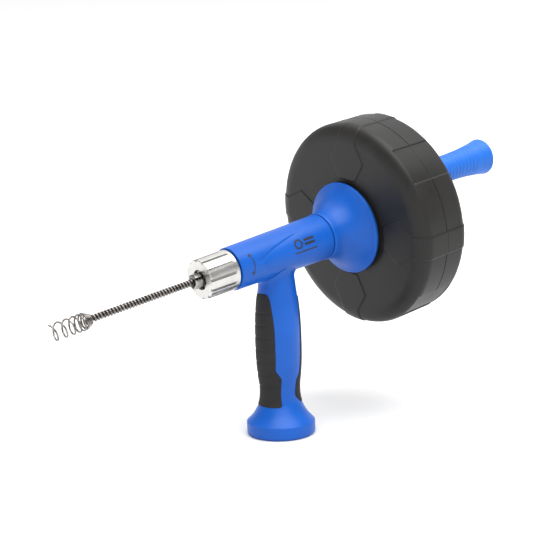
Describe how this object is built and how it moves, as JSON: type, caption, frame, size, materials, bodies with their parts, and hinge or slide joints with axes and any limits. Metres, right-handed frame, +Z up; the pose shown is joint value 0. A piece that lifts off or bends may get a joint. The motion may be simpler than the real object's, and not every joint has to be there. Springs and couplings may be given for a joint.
{
  "type": "drain snake machine",
  "caption": "Hand-cranked drum auger on a pistol grip: cable drum with crank knob, fluted chuck and a steel snake with an open bulb head.",
  "frame": {"origin": "centre of the foot's flat underside, under the grip's axis", "axes": "+Z up along the grip, +X forward towards the snake's tip, +Y to the tool's left; the spindle leans 8.9 degrees down towards +X"},
  "size_m": [0.4455, 0.1898, 0.2761],
  "materials": {
    "handle_blue": "satin moulded plastic, fine spark texture",
    "grip_rubber": "matt soft rubber",
    "drum_black": "matt moulded plastic",
    "hub_blue": "satin moulded plastic",
    "knob_blue": "satin moulded plastic",
    "black_plastic": "matt",
    "cast_metal": "satin die-cast",
    "cable_steel": "oiled spring wire",
    "spindle_steel": "turned steel",
    "fastener_steel": "zinc-plated steel",
    "bearing_bronze": "sintered bronze"
  },
  "bodies": {
    "handle": {"handle_body": "handle_blue", "front_grip_insert": "grip_rubber", "rear_grip_insert": "grip_rubber", "foot_plug": "black_plastic", "front_bushing": "bearing_bronze", "rear_bushing": "bearing_bronze"},
    "drum": {"drum_front_shell": "drum_black", "drum_rear_shell": "drum_black", "shell_screws": "fastener_steel", "hub_cone": "hub_blue", "hub_collar": "black_plastic", "hub_flange_plate": "spindle_steel", "hub_screws": "fastener_steel", "spindle_tube": "spindle_steel", "front_thrust_washer": "black_plastic", "rear_thrust_washer": "black_plastic", "chuck_body": "spindle_steel", "jaw_spring": "fastener_steel", "crank_bolt": "spindle_steel", "crank_backing_plate": "spindle_steel", "crank_washer": "black_plastic", "crank_clip": "fastener_steel", "cable_coil": "cable_steel", "cable_lead": "cable_steel"},
    "knob": {"crank_knob": "knob_blue", "knob_cap": "knob_blue", "knob_bushing": "bearing_bronze"},
    "clamp_ring": {"clamp_ring": "spindle_steel"},
    "chuck_nut": {"chuck_nut": "cast_metal"},
    "jaw_1": {"jaw_1": "spindle_steel"},
    "jaw_2": {"jaw_2": "spindle_steel"},
    "jaw_3": {"jaw_3": "spindle_steel"},
    "snake": {"snake_inner_run": "cable_steel", "snake_cable": "cable_steel", "bulb_head": "cable_steel"}
  },
  "joints": [
    {"name": "drum_spin", "type": "hinge", "parent": "handle", "child": "drum", "pos_m": [0, 0, 0.1614], "axis": [0.988, 0, -0.1547], "continuous": true},
    {"name": "knob_spin", "type": "hinge", "parent": "drum", "child": "knob", "pos_m": [-0.21659, 0.046, 0.23135], "axis": [0.988, 0, -0.1547], "continuous": true},
    {"name": "chuck_travel", "type": "slide", "parent": "drum", "child": "clamp_ring", "axis": [0.988, 0, -0.1547], "range_m": [0, 0.003]},
    {"name": "chuck_turn", "type": "hinge", "parent": "clamp_ring", "child": "chuck_nut", "pos_m": [0.08259, 0, 0.14847], "axis": [0.988, 0, -0.1547], "range_deg": [0, 720]},
    {"name": "jaw_1_slide", "type": "slide", "parent": "drum", "child": "jaw_1", "axis": [0.1547, 0, 0.988], "range_m": [0, 0.00080008], "deforming": ["jaw_spring"]},
    {"name": "jaw_2_slide", "type": "slide", "parent": "drum", "child": "jaw_2", "axis": [-0.0774, -0.866, -0.494], "range_m": [0, 0.00080008]},
    {"name": "jaw_3_slide", "type": "slide", "parent": "drum", "child": "jaw_3", "axis": [-0.0774, 0.866, -0.494], "range_m": [0, 0.00080008]},
    {"name": "snake_feed", "type": "slide", "parent": "drum", "child": "snake", "axis": [0.988, 0, -0.1547], "range_m": [-0.094, 0.095], "deforming": ["cable_lead"]}
  ],
  "couplings": [
    {"joint": "chuck_travel", "follows": "chuck_turn", "m_per_rad": 0.00023873},
    {"joint": "jaw_1_slide", "follows": "chuck_turn", "m_per_rad": 0.000063662},
    {"joint": "jaw_2_slide", "follows": "chuck_turn", "m_per_rad": 0.000063662},
    {"joint": "jaw_3_slide", "follows": "chuck_turn", "m_per_rad": 0.000063662}
  ]
}
